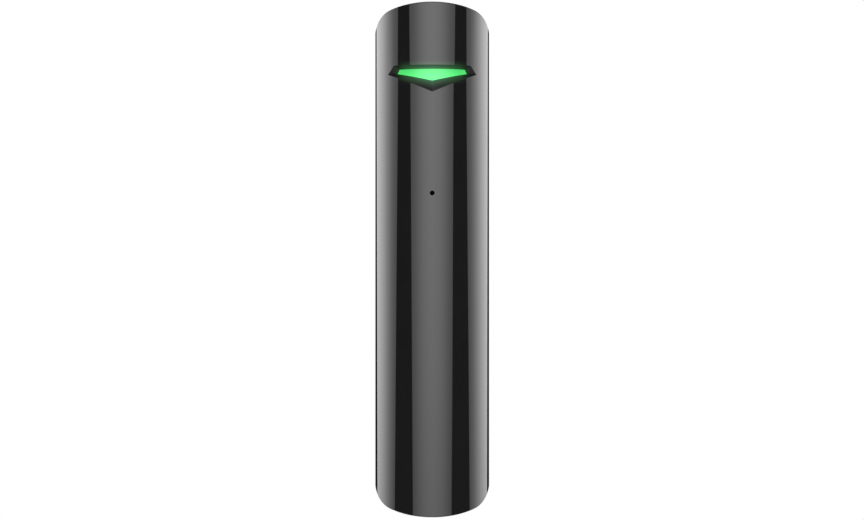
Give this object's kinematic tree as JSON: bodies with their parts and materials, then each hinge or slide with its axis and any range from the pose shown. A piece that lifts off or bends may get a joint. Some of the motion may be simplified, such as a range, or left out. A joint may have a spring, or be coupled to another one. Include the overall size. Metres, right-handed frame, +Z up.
{
  "type": "glass break sensor",
  "caption": "Slim upright wall sensor with a glossy round front, a chevron light window, a small sound port and a tapered rear cover on a slide-on bracket with a tear-off section.",
  "frame": {"origin": "midway between the two screw holes of the mounting bracket, on the wall plane", "axes": "+Z up along the height, +Y from the front towards the wall, +X to the right seen from the front"},
  "size_m": [0.0204, 0.0193, 0.09],
  "materials": {
    "front_plastic": "polished black moulded plastic",
    "rear_plastic": "fine-grained black moulded plastic",
    "label_film": "dark matt film, left bare",
    "bracket_plastic": "fine-grained black moulded plastic",
    "light_guide": "clear green-tinted moulded light guide",
    "led_body": "clear resin",
    "board": "green solder mask",
    "capsule_metal": "drawn metal can",
    "gasket_rubber": "soft moulded rubber",
    "cell_sleeve": "plain plastic sleeve",
    "contact_metal": "nickel-plated spring sheet",
    "button_plastic": "fine-grained black moulded plastic",
    "switch_body": "moulded switch body",
    "socket_plastic": "grey moulded plastic",
    "spacer_plastic": "orange moulded plastic",
    "pin_metal": "tinned brass pins",
    "shield_metal": "drawn tinned steel",
    "capacitor_can": "drawn aluminium can",
    "chip_resin": "moulded resin",
    "chip_ceramic": "fired ceramic with tinned ends"
  },
  "bodies": {
    "bracket": {"mounting_bracket": "bracket_plastic"},
    "housing": {"front_cover": "front_plastic", "rear_cover": "rear_plastic", "rear_label": "label_film", "light_guide": "light_guide", "status_led": "led_body", "circuit_board": "board", "microphone_capsule": "capsule_metal", "microphone_gasket": "gasket_rubber", "battery_cell": "cell_sleeve", "battery_contact_positive": "contact_metal", "battery_contact_negative": "contact_metal", "tamper_switch": "switch_body", "power_switch": "switch_body", "connector_socket": "socket_plastic", "connector_pin_left": "pin_metal", "connector_pin_right": "pin_metal", "connector_spacer": "spacer_plastic", "antenna": "contact_metal", "radio_shield": "shield_metal", "reservoir_capacitor": "capacitor_can", "microcontroller": "chip_resin", "amplifier_chip": "chip_resin", "crystal": "shield_metal", "chip_capacitor_1": "chip_ceramic", "chip_capacitor_2": "chip_ceramic", "chip_capacitor_3": "chip_ceramic", "chip_capacitor_4": "chip_ceramic"},
    "tamper_button": {"tamper_button": "button_plastic"},
    "power_button": {"power_button": "button_plastic"}
  },
  "joints": [
    {"name": "bracket_slide", "type": "slide", "parent": "bracket", "child": "housing", "axis": [0, 0, 1], "range_m": [0, 0.0054]},
    {"name": "tamper_press", "type": "slide", "parent": "housing", "child": "tamper_button", "axis": [0, -1, 0], "range_m": [0, 0.0008], "stiffness_N_per_m": 500, "springref_m": -0.001},
    {"name": "power_press", "type": "slide", "parent": "housing", "child": "power_button", "axis": [0, -1, 0], "range_m": [0, 0.0003], "stiffness_N_per_m": 1500, "springref_m": -0.0005}
  ]
}
